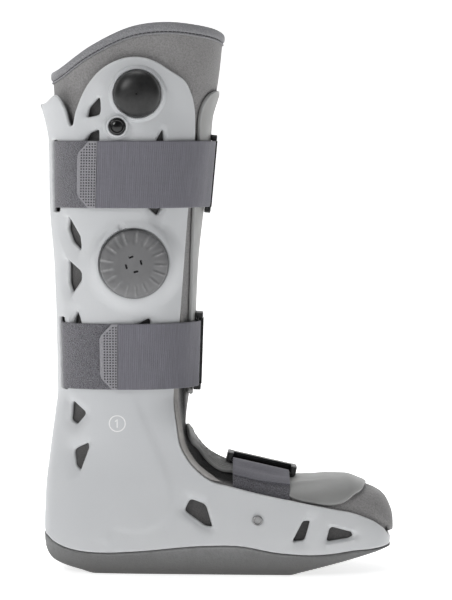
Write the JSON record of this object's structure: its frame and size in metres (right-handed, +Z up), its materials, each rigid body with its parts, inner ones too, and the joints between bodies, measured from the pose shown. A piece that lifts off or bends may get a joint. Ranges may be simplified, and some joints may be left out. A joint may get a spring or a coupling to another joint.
{
  "type": "medical walking boot",
  "caption": "Tall walking boot for an injured leg: rigid shell, padded liner, rocker sole, ringed straps and air controls on the outer side",
  "frame": {"origin": "on the floor under the leg, in the middle of the boot's width", "axes": "+X towards the toe, +Z up, the outer side with the controls faces -Y"},
  "size_m": [0.2744, 0.1415, 0.4225],
  "materials": {
    "outsole": "moulded rubber, matt",
    "shell": "moulded plastic, fine satin",
    "panel": "moulded plastic, satin",
    "instep": "flexible moulded plastic, satin",
    "liner": "brushed loop fabric over foam",
    "binding": "woven tape",
    "webbing": "woven nylon webbing",
    "tab": "dotted fastening tab",
    "ring": "moulded black plastic",
    "bulb": "smooth rubber, glossy",
    "button": "moulded black plastic",
    "dial": "moulded grey plastic",
    "rivet": "satin metal"
  },
  "bodies": {
    "boot": {"outsole": "outsole", "shell": "shell", "shin_panel": "panel", "instep_panel": "instep", "liner": "liner", "collar_binding": "binding", "upper_strap": "webbing", "lower_strap": "webbing", "upper_hook_tab": "tab", "lower_hook_tab": "tab", "forefoot_strap": "webbing", "forefoot_keeper": "webbing", "upper_ring": "ring", "lower_ring": "ring", "forefoot_ring": "ring", "pump_bulb": "bulb", "button_collar": "dial", "lateral_rivet": "rivet", "medial_rivet": "rivet"},
    "dial": {"selector_dial": "dial"},
    "button": {"release_button": "button"}
  },
  "joints": [
    {"name": "dial_turn", "type": "hinge", "parent": "boot", "child": "dial", "pos_m": [0.00731, -0.0572, 0.23988], "axis": [0, -1, 0], "range_deg": [-60, 60]},
    {"name": "button_press", "type": "slide", "parent": "boot", "child": "button", "axis": [0, 1, 0], "range_m": [0, 0.0018], "stiffness_N_per_m": 400}
  ]
}
